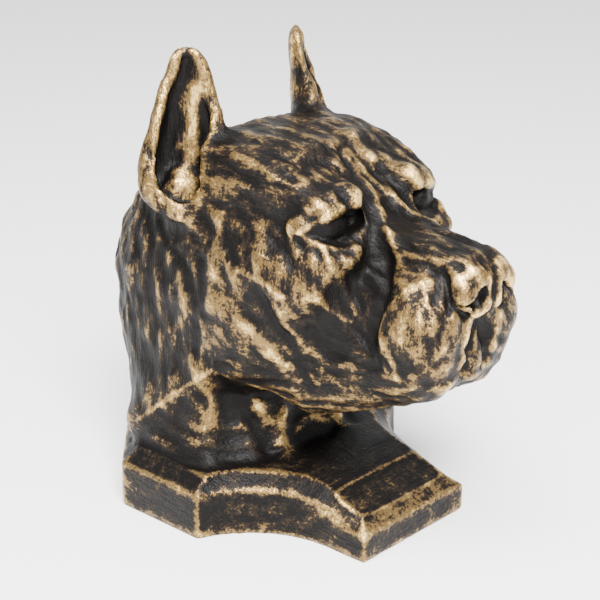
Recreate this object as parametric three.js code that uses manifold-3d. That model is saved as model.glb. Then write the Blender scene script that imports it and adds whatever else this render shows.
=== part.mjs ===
// Bust of a broad-headed guard dog with cropped ears, cast in one piece with its plinth.
// Millimetres, +Z up. The dog looks along -Y and its left side is +X.
// The origin is the middle of the plinth's underside.
import * as THREE from 'three';
import { mergeVertices } from 'three/addons/utils/BufferGeometryUtils.js';
import Module from 'manifold-3d';

const wasm = await Module();
wasm.setup();

// Plinth
const PLINTH_WIDTH = 118.4;
const PLINTH_DEPTH = 133;
const PLINTH_HEIGHT = 24;
const TONGUE_WIDTH = 60;
const TONGUE_LENGTH = 17;
const FLANK_ARC_RADIUS = 45;
const FLANK_ARC_STEPS = 9;
const REAR_CORNER = 31;
const BEVEL_IN = 7;
const BEVEL_DOWN = 5.5;
const FIELD_START = 34;
const FIELD_CREST = 24;
const FIELD_CREST_DROP = 1.6;
const FIELD_FOOT_DROP = 8.6;
const FRONT_STRIP = 5;
const FRONT_STRIP_DOWN = 4.2;

// Figure: its pose and carving are laid out in units, and UNIT is the size of one
const FIGURE_HEIGHT = 159;
const FIGURE_UNITS = 159;
const UNIT = FIGURE_HEIGHT / FIGURE_UNITS;
const FOOT_UNITS = 24;
const AXIS_FROM_FRONT = 51;
const FACE_STEP = 4.15;
const BACK_STEP = 6.6;
const NECK_STEP = 6.2;
const SETTLE_REACH = 1;

// Cropped ears, in figure units
const EAR_BASE = [38, 33, 136];
const EAR_TIP = [29.5, 37.5, 183];
const EAR_TURN = 42;
const EAR_HALF_WIDTH = 17.5;
const EAR_TAPER = 11.5;
const EAR_DEPTH_SHARE = 0.62;
const EAR_WALL = 4;
const EAR_ROOT = 17;
const EAR_TIP_ROUND = 6;
const EAR_MOUTH = 1;
const EAR_FLARE = 5;
const EAR_FLARE_LENGTH = 36;
const EAR_RINGS = 14;
const EAR_SIDES = 20;

const frontY = -PLINTH_DEPTH / 2;
const rearY = PLINTH_DEPTH / 2;
const axisY = frontY + AXIS_FROM_FRONT;

// Straight runs through a few [place, value] pairs
function along(t, knots) {
  const last = knots.length - 1;
  const next = knots.findIndex(([place]) => t <= place);
  if (next === 0) {
    return knots[0][1];
  }
  if (next < 0) {
    return knots[last][1];
  }
  const [a, from] = knots[next - 1];
  const [b, to] = knots[next];
  return from + ((to - from) * (t - a)) / (b - a);
}

// Join, meet and carve blend two distances over the width k
function join(a, b, k) {
  const h = Math.max(k - Math.abs(a - b), 0) / k;
  return Math.min(a, b) - (h * h * k) / 4;
}

function meet(a, b, k) {
  return -join(-a, -b, k);
}

function carve(a, b, k) {
  return -join(-a, b, k);
}

// Gives a point as seen from a form's centre and turn, in degrees about X, then Y, then Z
function viewFrom(at, turn) {
  const euler = new THREE.Euler(...turn.map(THREE.MathUtils.degToRad), 'ZYX');
  const back = new THREE.Matrix4().makeRotationFromEuler(euler).transpose();
  const centre = new THREE.Vector3(...at);
  return (p) => p.clone().sub(centre).applyMatrix4(back);
}

// Each form is a function that gives the distance from a point to the form's surface
function ellipsoid(at, radii, turn = [0, 0, 0]) {
  const view = viewFrom(at, turn);
  const size = new THREE.Vector3(...radii);
  return (p) => {
    const q = view(p).divide(size);
    const reach = q.length();
    const steepness = q.divide(size).length();
    return (reach * (reach - 1)) / Math.max(steepness, 1e-6);
  };
}

function roundBox(at, half, radius, turn = [0, 0, 0]) {
  const view = viewFrom(at, turn);
  return (p) => {
    const d = view(p).toArray().map((value, i) => Math.abs(value) - half[i] + radius);
    const outside = Math.hypot(...d.map((value) => Math.max(value, 0)));
    return outside + Math.min(Math.max(...d), 0) - radius;
  };
}

// Bent rod through the points, its radius running from one to the next
function rod(points, radii) {
  const runs = points.slice(1).map((end, i) => {
    const start = new THREE.Vector3(...points[i]);
    return { start, run: new THREE.Vector3(...end).sub(start), from: radii[i], to: radii[i + 1] };
  });
  return (p) => Math.min(...runs.map(({ start, run, from, to }) => {
    const q = p.clone().sub(start);
    const share = THREE.MathUtils.clamp(q.dot(run) / run.lengthSq(), 0, 1);
    return q.addScaledVector(run, -share).length() - THREE.MathUtils.lerp(from, to, share);
  }));
}

// Pit cut along one direction, with straight sides between its corners
function pit(corners, out, depth, edge) {
  const points = corners.map((corner) => new THREE.Vector3(...corner));
  const middle = new THREE.Vector3();
  points.forEach((point) => middle.addScaledVector(point, 1 / points.length));
  const way = new THREE.Vector3(...out).normalize();
  const sides = points.map((end, i) => {
    const start = points[(i + points.length - 1) % points.length];
    const side = end.clone().sub(start).cross(way).normalize();
    const outward = side.dot(middle.clone().sub(start)) > 0 ? side.negate() : side;
    return { start, outward };
  });
  return (p) => {
    const floor = -p.clone().sub(middle).dot(way) - depth;
    return sides.reduce((d, { start, outward }) => meet(d, p.clone().sub(start).dot(outward), edge), floor);
  };
}

// Head: brow and top line, then the forms that join it and the hollows carved from it
const TOP_LINE = [
  [-60, 118], [-42, 128], [-33, 134.5], [-20, 142],
  [-6, 148], [6, 150.5], [30, 150], [60, 130],
];
const SKULL_UNDERSIDE = 96;
const FURROW_DEPTH = 2.2;
const FURROW_HALF_WIDTH = 5.5;
const SKULL_HALF_WIDTH = 37.5;
const SKULL_TAPER = [[-44, 30.5], [-30, 33.5], [-10, 36.5], [10, SKULL_HALF_WIDTH]];
const skull = roundBox([0, 6, 126], [SKULL_HALF_WIDTH, 42, 40], 13);
const HEAD_FORMS = [
  { form: ellipsoid([29, -10, 108], [15, 26, 15], [8, 0, 14]), blend: 8 },
  { form: ellipsoid([27, 6, 88], [19.5, 30, 32]), blend: 12 },
  { form: ellipsoid([0, -30, 92], [30, 26, 26]), blend: 8 },
  { form: roundBox([0, -52, 106.5], [14, 27, 17], 7, [7, 0, 0]), blend: 8 },
  { form: ellipsoid([14.5, -57, 92.5], [15, 22.5, 22], [-4, 0, 8]), blend: 6 },
  { form: rod([[13, -16, 67], [10, -60, 77]], [20, 14]), blend: 10 },
  { form: ellipsoid([0, -66, 82], [14, 12.5, 11]), blend: 5 },
  { form: roundBox([0, -76.5, 110], [12.5, 7.2, 7], 5.5), blend: 3 },
  { form: ellipsoid([25, -28, 116], [12, 14, 8.5]), blend: 7 },
  { form: rod([[35.5, -24, 130.5], [30, -28.5, 136], [19, -30.5, 139]], [1.6, 3, 4.2]), blend: 6 },
];
const HEAD_HOLLOWS = [
  { form: ellipsoid([26, -38, 126.5], [8, 7, 5], [0, 20, 0]), blend: 5 },
  { form: ellipsoid([32, -48, 101], [6.5, 8, 14]), blend: 7 },
];

// Three-cornered eye sockets with the ball set back in each
const EYE_CORNERS = [[35, -27, 128], [25, -34, 134], [14.5, -36, 135], [15.5, -38, 125], [28, -34, 122.5]];
const eyeSocket = pit(EYE_CORNERS, [0.45, -0.88, 0.08], 8, 2);
const eyeBall = ellipsoid([26, -23.5, 127.5], [8.5, 8, 7.5]);

// Nostrils, and the cleft between the flews with the chin in it
const nostril = ellipsoid([8, -83.5, 108.5], [3.2, 5, 4.3], [0, 0, 12]);
const cleft = rod([[0, -79, 99], [3.5, -79, 93], [5.5, -79, 86], [6, -78, 77]], [2.4, 3.2, 3.6, 3.6]);
const chin = ellipsoid([0, -73.5, 84], [4.6, 5, 8]);

function head(p) {
  const fade = along(p.y, [[-45, 0.4], [-30, 1], [-5, 1], [15, 0.3], [30, 0]]);
  const furrow = FURROW_DEPTH * fade * Math.exp(-((p.x / FURROW_HALF_WIDTH) ** 2));
  const lid = (p.z - along(p.y, TOP_LINE) + furrow) * 0.9;
  const tapered = p.clone();
  tapered.x *= SKULL_HALF_WIDTH / along(p.y, SKULL_TAPER);
  let d = meet(meet(skull(tapered), lid, 9), SKULL_UNDERSIDE - p.z, 8);
  HEAD_FORMS.forEach(({ form, blend }) => {
    d = join(d, form(p), blend);
  });
  HEAD_HOLLOWS.forEach(({ form, blend }) => {
    d = carve(d, form(p), blend);
  });
  d = join(carve(d, eyeSocket(p), 2.5), eyeBall(p), 2);
  d = carve(d, nostril(p), 2.5);
  return join(carve(d, cleft(p), 2.5), chin(p), 2);
}

// Neck: level sections whose back, front and half width follow these lines up to the nape
const NECK_BACK = [
  [24, 74], [50, 79], [75, 86], [92, 88], [106, 86],
  [120, 78], [132, 66], [147, 40], [151, 26],
];
const NECK_FRONT = [[24, 2], [34, 6], [50, 8], [70, 0], [90, -12], [110, -20], [151, -10]];
const NECK_HALF_WIDTH = [
  [24, 50.5], [40, 47], [60, 45.5], [95, 46],
  [110, 43.5], [125, 39], [138, 34], [151, 20],
];
const NECK_SQUARENESS = [[30, 2.6], [60, 2.75], [110, 2.75], [151, 2.4]];
const NECK_TOP = 149;
const NECK_SINK = 6;
const NECK_FORMS = [
  { form: rod([[40, 20, 62], [38, 20, 26]], [4.5, 6.5]), blend: 9 },
  { form: rod([[38, 22, 60], [44, 56, 33]], [4.5, 3.5]), blend: 9 },
];
const NECK_HOLLOWS = [
  { form: ellipsoid([43, 7, 46], [12, 11, 18]), blend: 10 },
];

function neck(p) {
  const back = along(p.z, NECK_BACK);
  const front = along(p.z, NECK_FRONT);
  const half = along(p.z, NECK_HALF_WIDTH);
  const power = along(p.z, NECK_SQUARENESS);
  const depth = (back - front) / 2;
  const across = Math.abs(p.x / half) ** power;
  const lengthwise = Math.abs((p.y - (back + front) / 2) / depth) ** power;
  let d = ((across + lengthwise) ** (1 / power) - 1) * Math.min(half, depth);
  d = meet(d, Math.max(p.z - NECK_TOP, NECK_SINK - p.z), 3);
  NECK_FORMS.forEach(({ form, blend }) => {
    d = join(d, form(p), blend);
  });
  NECK_HOLLOWS.forEach(({ form, blend }) => {
    d = carve(d, form(p), blend);
  });
  return d;
}

// Both halves of the figure are alike, so a point is measured on its left side
function figure(p) {
  const q = new THREE.Vector3(Math.abs(p.x), p.y, p.z);
  return join(head(q), neck(q), 10);
}

function slope(form, p, reach = 0.5) {
  const gradient = ['x', 'y', 'z'].map((axis) => {
    const ahead = p.clone();
    const behind = p.clone();
    ahead[axis] += reach;
    behind[axis] -= reach;
    return (form(ahead) - form(behind)) / (2 * reach);
  });
  return new THREE.Vector3(...gradient);
}

// Moves a point onto the surface, no further than the reach
function settle(form, p, reach) {
  const start = p.clone();
  for (let turn = 0; turn < 3; turn += 1) {
    const gradient = slope(form, p);
    p.addScaledVector(gradient, -form(p) / Math.max(gradient.lengthSq(), 0.25));
  }
  return p.sub(start).clampLength(0, reach).add(start);
}

function lines(from, to, stepAt) {
  const places = [from];
  while (places[places.length - 1] < to) {
    const last = places[places.length - 1];
    places.push(last + stepAt(last));
  }
  return places;
}

// Skin of a form: one point for each lattice cell that the surface crosses, joined by four-sided faces
function skin(form, xs, ys, zs) {
  const size = [xs.length, ys.length, zs.length];
  const at = (i, j, k) => (i * size[1] + j) * size[2] + k;
  const values = new Float64Array(size[0] * size[1] * size[2]);
  const node = (i, j, k) => new THREE.Vector3(xs[i], ys[j], zs[k]);
  for (let i = 0; i < size[0]; i += 1) {
    for (let j = 0; j < size[1]; j += 1) {
      for (let k = 0; k < size[2]; k += 1) {
        values[at(i, j, k)] = form(node(i, j, k));
      }
    }
  }
  const corners = [0, 1, 2, 3, 4, 5, 6, 7].map((c) => [c & 1, (c >> 1) & 1, c >> 2]);
  const edges = [];
  corners.forEach((a, m) => {
    corners.forEach((b, n) => {
      const apart = Math.abs(a[0] - b[0]) + Math.abs(a[1] - b[1]) + Math.abs(a[2] - b[2]);
      if (m < n && apart === 1) {
        edges.push([a, b]);
      }
    });
  });
  const points = [];
  const pointOf = new Map();
  for (let i = 0; i < size[0] - 1; i += 1) {
    for (let j = 0; j < size[1] - 1; j += 1) {
      for (let k = 0; k < size[2] - 1; k += 1) {
        const middle = new THREE.Vector3();
        let count = 0;
        edges.forEach(([a, b]) => {
          const va = values[at(i + a[0], j + a[1], k + a[2])];
          const vb = values[at(i + b[0], j + b[1], k + b[2])];
          if (va < 0 !== vb < 0) {
            const start = node(i + a[0], j + a[1], k + a[2]);
            middle.add(start.lerp(node(i + b[0], j + b[1], k + b[2]), va / (va - vb)));
            count += 1;
          }
        });
        if (count > 0) {
          pointOf.set(at(i, j, k), points.length);
          points.push(settle(form, middle.divideScalar(count), SETTLE_REACH));
        }
      }
    }
  }
  const faces = [];
  const steps = [[1, 0, 0], [0, 1, 0], [0, 0, 1]];
  for (let i = 1; i < size[0] - 1; i += 1) {
    for (let j = 1; j < size[1] - 1; j += 1) {
      for (let k = 1; k < size[2] - 1; k += 1) {
        steps.forEach((step, axis) => {
          const inside = values[at(i, j, k)] < 0;
          if (inside === values[at(i + step[0], j + step[1], k + step[2])] < 0) {
            return;
          }
          const u = steps[(axis + 1) % 3];
          const v = steps[(axis + 2) % 3];
          const cell = (a, b) => pointOf.get(
            at(i - a * u[0] - b * v[0], j - a * u[1] - b * v[1], k - a * u[2] - b * v[2]),
          );
          const ring = [cell(0, 0), cell(1, 0), cell(1, 1), cell(0, 1)];
          if (!inside) {
            ring.reverse();
          }
          const [a, b, c, d] = ring.map((corner) => points[corner]);
          const start = a.distanceTo(c) <= b.distanceTo(d) ? 0 : 1;
          faces.push(ring[start], ring[start + 1], ring[(start + 2) % 4]);
          faces.push(ring[start], ring[(start + 2) % 4], ring[(start + 3) % 4]);
        });
      }
    }
  }
  return { points, faces };
}

// Four-sided faces between neighbouring rings of equal count
function walls(rings) {
  const count = rings[0].length;
  const faces = [];
  for (let r = 0; r + 1 < rings.length; r += 1) {
    for (let s = 0; s < count; s += 1) {
      const a = r * count + s;
      const b = r * count + ((s + 1) % count);
      faces.push(a, b, b + count, a, b + count, a + count);
    }
  }
  return faces;
}

// Closed loft through rings, each end closed by a fan onto its own middle
function loft(rings) {
  const count = rings[0].length;
  const points = rings.flat();
  const faces = walls(rings);
  [0, rings.length - 1].forEach((r) => {
    const middle = new THREE.Vector3();
    rings[r].forEach((point) => middle.addScaledVector(point, 1 / count));
    points.push(middle);
    for (let s = 0; s < count; s += 1) {
      const a = r * count + s;
      const b = r * count + ((s + 1) % count);
      faces.push(points.length - 1, r === 0 ? b : a, r === 0 ? a : b);
    }
  });
  return { points, faces };
}

// Solid from points and faces, turned so that its faces point out
function solid({ points, faces }) {
  const volume = faces.reduce((sum, _, i) => {
    if (i % 3 !== 0) {
      return sum;
    }
    const [a, b, c] = [points[faces[i]], points[faces[i + 1]], points[faces[i + 2]]];
    return sum + a.clone().cross(b).dot(c);
  }, 0);
  const turned = volume < 0 ? faces.map((_, i) => faces[i + [0, 1, -1][i % 3]]) : faces;
  const vertProperties = new Float32Array(points.flatMap((point) => point.toArray()));
  const triVerts = new Uint32Array(turned);
  return new wasm.Manifold(new wasm.Mesh({ numProp: 3, vertProperties, triVerts }));
}

// Figure units to millimetres on the plinth
function place(p) {
  return new THREE.Vector3(p.x * UNIT, p.y * UNIT + axisY, (p.z - FOOT_UNITS) * UNIT + PLINTH_HEIGHT);
}

// The lattice is closest over the face and widest over the nape and the foot of the neck
const LATTICE_HALF_WIDTH = 56;
const LATTICE_FRONT = -92;
const FACE_END = -22;
const LATTICE_REAR = 98;
const JAW_START = 70;
const BROW_END = 143;
const LATTICE_TOP = 160;

function figureSolid() {
  const half = lines(0, LATTICE_HALF_WIDTH, () => FACE_STEP);
  const xs = [...half.slice(1).map((x) => -x).reverse(), ...half];
  const ys = lines(LATTICE_FRONT, LATTICE_REAR, (y) => (y < FACE_END ? FACE_STEP : BACK_STEP));
  const faceHigh = (z) => z >= JAW_START && z <= BROW_END;
  const zs = lines(NECK_SINK - 2 * NECK_STEP, LATTICE_TOP, (z) => (faceHigh(z) ? FACE_STEP : NECK_STEP));
  const { points, faces } = skin(figure, xs, ys, zs);
  return solid({ points: points.map(place), faces });
}

// Ear section at one height: an oval whose front is cut flat at the mouth
function earRing(height, wall, side, open) {
  const base = new THREE.Vector3(...EAR_BASE);
  const rise = new THREE.Vector3(...EAR_TIP).sub(base);
  const length = rise.length();
  const up = rise.normalize();
  const turn = THREE.MathUtils.degToRad(EAR_TURN);
  const facing = new THREE.Vector3(Math.sin(turn), -Math.cos(turn), 0);
  const across = new THREE.Vector3().crossVectors(up, facing).normalize();
  const out = new THREE.Vector3().crossVectors(across, up);
  const share = THREE.MathUtils.clamp(height / length, 0, 1);
  const width = EAR_HALF_WIDTH - EAR_TAPER * share ** 1.3;
  const low = Math.min(height, 0) / (EAR_ROOT - wall);
  const high = Math.max(height - length + EAR_TIP_ROUND, 0) / (EAR_TIP_ROUND - wall * 0.5);
  const shrink = Math.sqrt(Math.max(1 - low * low - high * high, 0));
  const flare = EAR_FLARE * THREE.MathUtils.clamp(1 - height / EAR_FLARE_LENGTH, 0, 1);
  const mouth = open ? Infinity : EAR_MOUTH + flare;
  const halfWidth = (width - wall) * shrink;
  const halfDepth = halfWidth * EAR_DEPTH_SHARE;
  return Array.from({ length: EAR_SIDES }, (_, s) => {
    const angle = (2 * Math.PI * s) / EAR_SIDES;
    const point = base.clone().addScaledVector(up, height);
    point.addScaledVector(across, halfWidth * Math.cos(angle));
    point.addScaledVector(out, Math.min(halfDepth * Math.sin(angle), mouth));
    point.x *= side;
    return place(point);
  });
}

function earLoft(side, wall, open) {
  const length = new THREE.Vector3(...EAR_TIP).distanceTo(new THREE.Vector3(...EAR_BASE));
  const bottom = -EAR_ROOT + wall;
  const top = length - wall * 0.5;
  const rings = Array.from({ length: EAR_RINGS }, (_, r) => {
    const share = (1 - Math.cos((Math.PI * (r + 0.5)) / EAR_RINGS)) / 2;
    return earRing(bottom + (top - bottom) * share, wall, side, open);
  });
  return solid(loft(rings));
}

// Half outline of the plinth on its left, from the front middle to the rear middle
function plinthSide() {
  const tongue = TONGUE_WIDTH / 2;
  const block = PLINTH_WIDTH / 2;
  const centre = new THREE.Vector2(tongue + FLANK_ARC_RADIUS, frontY + TONGUE_LENGTH);
  const sweep = Math.acos((centre.x - block) / FLANK_ARC_RADIUS);
  const points = [new THREE.Vector2(tongue, frontY), new THREE.Vector2(tongue, frontY + FIELD_CREST / 2)];
  for (let s = 0; s <= FLANK_ARC_STEPS; s += 1) {
    const angle = (sweep * s) / FLANK_ARC_STEPS;
    const offset = new THREE.Vector2(-Math.cos(angle), Math.sin(angle)).multiplyScalar(FLANK_ARC_RADIUS);
    points.push(offset.add(centre));
  }
  points.push(new THREE.Vector2(block, rearY - REAR_CORNER));
  points.push(new THREE.Vector2(block - REAR_CORNER, rearY));
  return points;
}

// Plinth levels by distance behind its front edge
function plinthTop(y) {
  return PLINTH_HEIGHT - along(y - frontY, [
    [FRONT_STRIP, FIELD_FOOT_DROP],
    [FIELD_CREST, FIELD_CREST_DROP],
    [FIELD_START, 0],
  ]);
}

function bevelShare(y) {
  return THREE.MathUtils.clamp((y - frontY) / FIELD_START, 0, 1);
}

// Outline moved inwards, each corner by its own distance
function movedIn(outline, distanceAt) {
  const inward = (a, b) => new THREE.Vector2(a.y - b.y, b.x - a.x).normalize();
  return outline.map((point, i) => {
    const before = outline[(i + outline.length - 1) % outline.length];
    const after = outline[(i + 1) % outline.length];
    const first = inward(before, point);
    const second = inward(point, after);
    const share = distanceAt(point.y) / (1 + first.dot(second));
    return point.clone().addScaledVector(first.add(second), share);
  });
}

function plinthSolid() {
  const side = plinthSide();
  const outline = [...side, ...side.map((point) => new THREE.Vector2(-point.x, point.y)).reverse()];
  const bevelIn = (y) => THREE.MathUtils.lerp(FRONT_STRIP, BEVEL_IN, bevelShare(y));
  const bevelDown = (y) => THREE.MathUtils.lerp(FRONT_STRIP_DOWN, BEVEL_DOWN, bevelShare(y));
  const top = movedIn(outline, bevelIn);
  const wallTop = (point, i) => plinthTop(top[i].y) - bevelDown(point.y);
  const rings = [
    outline.map((point) => new THREE.Vector3(point.x, point.y, 0)),
    outline.map((point, i) => new THREE.Vector3(point.x, point.y, wallTop(point, i))),
    top.map((point) => new THREE.Vector3(point.x, point.y, plinthTop(point.y))),
  ];
  const faces = walls(rings);
  const last = outline.length - 1;
  for (let i = 0; i + 1 < side.length; i += 1) {
    const strip = [i, i + 1, last - i - 1, last - i];
    const lid = strip.map((corner) => corner + 2 * outline.length);
    faces.push(lid[0], lid[1], lid[2], lid[0], lid[2], lid[3]);
    faces.push(strip[0], strip[2], strip[1], strip[0], strip[3], strip[2]);
  }
  return solid({ points: rings.flat(), faces });
}

function castGeometry() {
  let cast = figureSolid().add(plinthSolid());
  [-1, 1].forEach((side) => {
    cast = cast.add(earLoft(side, 0, false)).subtract(earLoft(side, EAR_WALL, true));
  });
  const { vertProperties, triVerts } = cast.getMesh();
  const geometry = new THREE.BufferGeometry();
  geometry.setAttribute('position', new THREE.BufferAttribute(vertProperties, 3));
  geometry.setIndex(new THREE.BufferAttribute(triVerts, 1));
  return mergeVertices(geometry, 1e-4);
}

const patina = new THREE.MeshStandardMaterial({ color: 0x4a4038, roughness: 0.5, metalness: 0.35 });
const bust = new THREE.Mesh(castGeometry(), patina);
bust.name = 'dog_bust';

const model = new THREE.Group();
model.add(bust);

export default model;
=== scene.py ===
"""Bust of a guard dog with cropped ears: the carved and dry-brushed surface of the casting.

The carving is laid out in figure units, which are millimetres at the casting's usual height of
183 mm. The dog looks along -Y and its left side is +X. The figure's origin lies AXIS_AHEAD units
ahead of the frame's. Both halves have the same forms, so each form is given for the left half, with
X from 0 up. Only a few carved lines and the tool marks differ from side to side.
"""

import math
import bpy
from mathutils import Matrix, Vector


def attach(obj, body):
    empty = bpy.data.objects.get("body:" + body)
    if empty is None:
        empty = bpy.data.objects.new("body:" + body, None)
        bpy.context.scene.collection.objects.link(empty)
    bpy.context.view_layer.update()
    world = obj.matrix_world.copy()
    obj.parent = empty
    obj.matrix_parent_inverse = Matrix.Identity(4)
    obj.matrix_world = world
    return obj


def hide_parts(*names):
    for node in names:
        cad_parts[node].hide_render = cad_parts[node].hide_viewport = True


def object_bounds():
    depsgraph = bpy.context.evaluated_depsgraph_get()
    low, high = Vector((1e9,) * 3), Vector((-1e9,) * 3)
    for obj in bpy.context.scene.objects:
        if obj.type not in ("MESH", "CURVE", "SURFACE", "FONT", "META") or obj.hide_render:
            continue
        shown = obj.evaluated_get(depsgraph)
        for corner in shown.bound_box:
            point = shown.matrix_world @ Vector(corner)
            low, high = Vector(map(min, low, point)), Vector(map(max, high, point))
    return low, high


bl_info = {
    "name": "Dog Head Bust",
    "version": (1, 0, 0),
    "blender": (4, 5, 0),
    "location": "View3D > Sidebar > Dog Bust",
    "description": "Carves the bust on its frame, dry-brushes it with gold and sets its stage",
    "category": "Object",
}

import bmesh
import bpy
import numpy as np
from mathutils import Matrix, Vector

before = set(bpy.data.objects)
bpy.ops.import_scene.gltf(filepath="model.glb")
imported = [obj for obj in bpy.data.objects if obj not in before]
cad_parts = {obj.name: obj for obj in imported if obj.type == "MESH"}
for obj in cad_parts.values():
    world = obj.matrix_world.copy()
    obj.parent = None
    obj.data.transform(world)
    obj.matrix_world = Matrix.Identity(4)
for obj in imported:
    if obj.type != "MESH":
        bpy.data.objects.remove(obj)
CAD_LOW, CAD_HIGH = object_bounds()

BUST = "dog_bust"
USUAL_HEIGHT = 183.0
UNIT = CAD_HIGH.z / USUAL_HEIGHT
AXIS_AHEAD = 15.5
TINY = 1e-9


# Distances

def along(t, knots):
    """Straight runs through a few (place, value) pairs."""
    places, values = zip(*knots)
    return np.interp(t, places, values)


def join(a, b, k):
    """Union of two distances, rounded over the width k."""
    h = np.maximum(k - np.abs(a - b), 0.0) / k
    return np.minimum(a, b) - h * h * k / 4


def meet(a, b, k):
    """Common part of two distances, rounded over the width k."""
    return -join(-a, -b, k)


def join_all(d, *forms):
    """Union with several forms in turn, each given with the width of its rounding."""
    for form, k in forms:
        d = join(d, form, k)
    return d


def carve(a, b, k):
    """First distance with the second taken away, rounded over the width k."""
    return -join(-a, b, k)


def seen_from(p, at, turn):
    """Points as seen from a form's centre, turned in degrees about X, then Y, then Z."""
    q = p - np.array(at, float)
    if not any(turn):
        return q
    x, y, z = (math.radians(angle) for angle in turn)
    rotation = Matrix.Rotation(z, 3, "Z") @ Matrix.Rotation(y, 3, "Y") @ Matrix.Rotation(x, 3, "X")
    return q @ np.array(rotation)


def ellipsoid(p, at, radii, turn=(0, 0, 0)):
    """Distance to an ellipsoid, close near its surface."""
    q = seen_from(p, at, turn) / np.array(radii)
    reach = np.linalg.norm(q, axis=1)
    steepness = np.linalg.norm(q / np.array(radii), axis=1)
    return reach * (reach - 1) / np.maximum(steepness, TINY)


def round_box(p, at, half, radius, turn=(0, 0, 0)):
    """Distance to a box with rounded edges."""
    d = np.abs(seen_from(p, at, turn)) - (np.array(half) - radius)
    outside = np.linalg.norm(np.maximum(d, 0), axis=1)
    return outside + np.minimum(d.max(axis=1), 0) - radius


def rod(p, points, radii):
    """Distance to a bent rod through the points, its radius running from one to the next."""
    nearest = np.full(len(p), np.inf)
    for i in range(len(points) - 1):
        start, end = np.array(points[i], float), np.array(points[i + 1], float)
        run = end - start
        share = np.clip((p - start) @ run / (run @ run), 0, 1)
        away = np.linalg.norm(p - start - share[:, None] * run, axis=1)
        nearest = np.minimum(nearest, away - radii[i] - share * (radii[i + 1] - radii[i]))
    return nearest


def prism(p, corners, out, depth, edge):
    """Distance to a pit that is cut along one direction, with straight sides between its corners."""
    corners = np.array(corners, float)
    out = np.array(out, float) / np.linalg.norm(out)
    middle = corners.mean(axis=0)
    pit = -((p - middle) @ out) - depth
    for i in range(len(corners)):
        start, end = corners[i - 1], corners[i]
        side = np.cross(end - start, out)
        side /= np.linalg.norm(side)
        if side @ (middle - start) > 0:
            side = -side
        pit = meet(pit, (p - start) @ side, edge)
    return pit


# Forms

PLINTH_TOP = 24
PLINTH_FRONT = -51
PLINTH_REAR = 82
PLINTH_HALF = 59.2
CORNER_START = 51
TONGUE_HALF = 30
FLANK_RADIUS = 45
FLANK_START = -34
FLANK_END = 9
FIELD_START = 34
FIELD_DROP = [(5, 8.6), (24, 1.6), (FIELD_START, 0)]
FIELD_STEEPNESS = 0.93
FRONT_BEVEL = (5, 4.2)
BEVEL_GAIN = (2, 1.3)
FAR = 50


def plinth(p):
    """Block with chamfered rear corners, hollow flanks, a tongue in front and a bevelled top edge."""
    x, y, z = p.T
    arc = FLANK_RADIUS - np.hypot(x - TONGUE_HALF - FLANK_RADIUS, y - FLANK_START)
    beside = np.where(x < TONGUE_HALF + FLANK_RADIUS, arc, FAR)
    flank = np.where(y > FLANK_START, beside, x - TONGUE_HALF)
    flank = np.where(y < FLANK_END, flank, -FAR)
    wall = np.maximum(np.maximum(x - PLINTH_HALF, PLINTH_FRONT - y), y - PLINTH_REAR)
    wall = np.maximum(wall, (x - PLINTH_HALF + y - CORNER_START) * math.sqrt(0.5))
    wall = np.maximum(wall, flank)
    back = y - PLINTH_FRONT
    share = np.clip(back / FIELD_START, 0, 1)
    bevel_in, bevel_down = (front + gain * share for front, gain in zip(FRONT_BEVEL, BEVEL_GAIN))
    top = PLINTH_TOP - along(back, FIELD_DROP)
    bevel = (wall * bevel_down + (z - top + bevel_down) * bevel_in) / np.hypot(bevel_in, bevel_down)
    return np.maximum(np.maximum(wall, -z), np.maximum((z - top) * FIELD_STEEPNESS, bevel))


TOP_LINE = [
    (-60, 118), (-42, 128), (-33, 134.5), (-20, 142),
    (-6, 148), (6, 150.5), (30, 150), (60, 130),
]
TOP_STEEPNESS = 0.9
FURROW_DEPTH = 2.2
FURROW_HALF = 5.5
FURROW_RUN = [(-45, 0.4), (-30, 1), (-5, 1), (15, 0.3), (30, 0)]
SKULL_WIDEST = 37.5
SKULL_HALF = [(-44, 30.5), (-30, 33.5), (-10, 36.5), (10, SKULL_WIDEST)]
SKULL_UNDERSIDE = 96


def skull(p):
    """Broad flat-topped skull with its furrow, cheekbones and jaw muscles."""
    x, y, z = p.T
    furrow = FURROW_DEPTH * along(y, FURROW_RUN) * np.exp(-(x / FURROW_HALF) ** 2)
    top = (z - along(y, TOP_LINE) + furrow) * TOP_STEEPNESS
    widened = np.stack([x * SKULL_WIDEST / along(y, SKULL_HALF), y, z], axis=1)
    dome = round_box(widened, (0, 6, 126), (SKULL_WIDEST, 42, 40), 13)
    cheekbone = ellipsoid(p, (29, -10, 108), (15, 26, 15), (8, 0, 14))
    jaw_muscle = ellipsoid(p, (27, 6, 88), (19.5, 30, 32))
    under_eye = ellipsoid(p, (25, -28, 116), (12, 14, 8.5))
    d = meet(meet(dome, top, 9), SKULL_UNDERSIDE - z, 8)
    return join_all(d, (cheekbone, 8), (jaw_muscle, 12), (under_eye, 7))


def muzzle(p, d):
    """The skull with its bridge, flews, lower jaw and nose pad joined on."""
    root = ellipsoid(p, (0, -30, 92), (30, 26, 26))
    bridge = round_box(p, (0, -52, 106.5), (14, 27, 17), 7, (7, 0, 0))
    flew = ellipsoid(p, (14.5, -57, 92.5), (15, 22.5, 22), (-4, 0, 8))
    jaw = rod(p, [(13, -16, 67), (10, -60, 77)], (20, 14))
    between_flews = ellipsoid(p, (0, -66, 82), (14, 12.5, 11))
    nose_pad = round_box(p, (0, -76.5, 109), (12.5, 7.2, 8.5), 5.5)
    behind_flew = ellipsoid(p, (32, -48, 101), (6.5, 8, 14))
    d = join_all(d, (root, 8), (bridge, 8), (flew, 6), (jaw, 10), (between_flews, 5), (nose_pad, 3))
    return carve(d, behind_flew, 7)


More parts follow.
